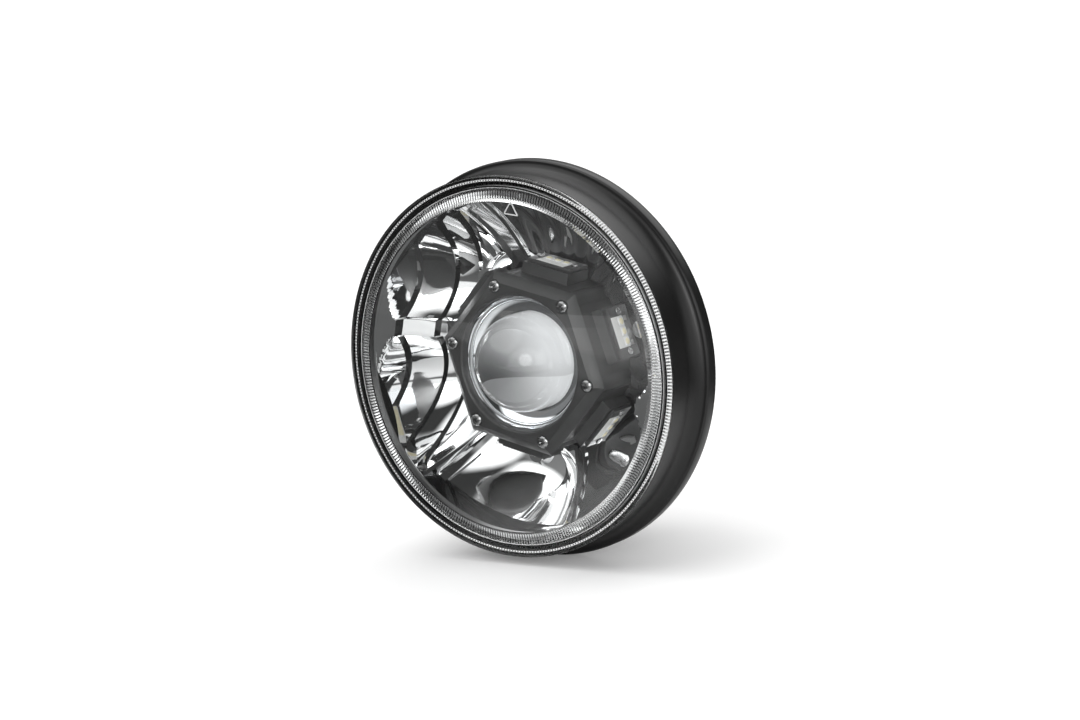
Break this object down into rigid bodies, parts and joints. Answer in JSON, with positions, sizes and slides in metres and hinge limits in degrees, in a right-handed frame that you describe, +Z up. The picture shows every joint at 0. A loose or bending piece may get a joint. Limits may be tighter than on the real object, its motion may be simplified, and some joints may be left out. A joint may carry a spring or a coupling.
{
  "type": "round motorcycle headlight",
  "caption": "Sealed round headlight: black finned housing with mounting flange, clear lens, stepped chrome reflector, hexagonal projector pod and a bladed inlet.",
  "frame": {"origin": "centre of the rear face of the mounting flange, on the lamp's axis", "axes": "-Y is the way the lamp looks, +Z is up, +Y points to the inlet at the rear"},
  "size_m": [0.178, 0.1272, 0.178],
  "materials": {
    "clear_lens": "clear moulded polycarbonate, gloss",
    "projector_glass": "polished optical glass",
    "black_paint": "satin black powder coat on cast aluminium",
    "sink_paint": "satin black coat on cast aluminium fins",
    "chrome": "bright vacuum metallised plastic",
    "pod_grey": "dark grey satin anodised cast aluminium",
    "screw_steel": "bright zinc plated steel",
    "black_plastic": "moulded black plastic",
    "black_rubber": "black silicone",
    "board_white": "white solder mask on aluminium board",
    "board_green": "green solder mask on glass fibre board",
    "led_yellow": "phosphor coated LED",
    "pad_grey": "soft grey thermal pad",
    "copper_coil": "enamelled copper winding",
    "can_black": "sleeved capacitor can",
    "blade_tin": "tinned brass"
  },
  "bodies": {
    "root": {"front_lens": "clear_lens", "lens_seal": "black_rubber", "housing": "black_paint", "reflector": "chrome", "reflector_screws": "screw_steel", "pod": "pod_grey", "pod_screws": "screw_steel", "bezel": "pod_grey", "bezel_screws": "screw_steel", "projector_sleeve": "chrome", "ball_lens": "projector_glass", "lens_retainer": "black_plastic", "cutoff_shield": "screw_steel", "projector_bowl": "chrome", "projector_board": "board_white", "projector_led": "led_yellow", "projector_screws": "screw_steel", "thermal_pad": "pad_grey", "side_board_screws": "screw_steel", "sink_gasket": "black_rubber", "heat_sink": "sink_paint", "sink_screws": "screw_steel", "driver_board": "board_green", "driver_inductor": "copper_coil", "driver_capacitors": "can_black", "driver_chips": "black_plastic", "driver_screws": "screw_steel", "rear_cover": "sink_paint", "cover_ring": "black_rubber", "cover_screws": "screw_steel", "vent_plug": "black_plastic", "inlet_body": "black_plastic", "inlet_gasket": "black_rubber", "inlet_screws": "screw_steel", "inlet_blades": "blade_tin", "side_board_1": "board_white", "side_leds_1": "led_yellow", "side_board_2": "board_white", "side_leds_2": "led_yellow", "side_board_3": "board_white", "side_leds_3": "led_yellow", "side_board_4": "board_white", "side_leds_4": "led_yellow", "side_board_5": "board_white", "side_leds_5": "led_yellow", "side_board_6": "board_white", "side_leds_6": "led_yellow"}
  },
  "joints": []
}
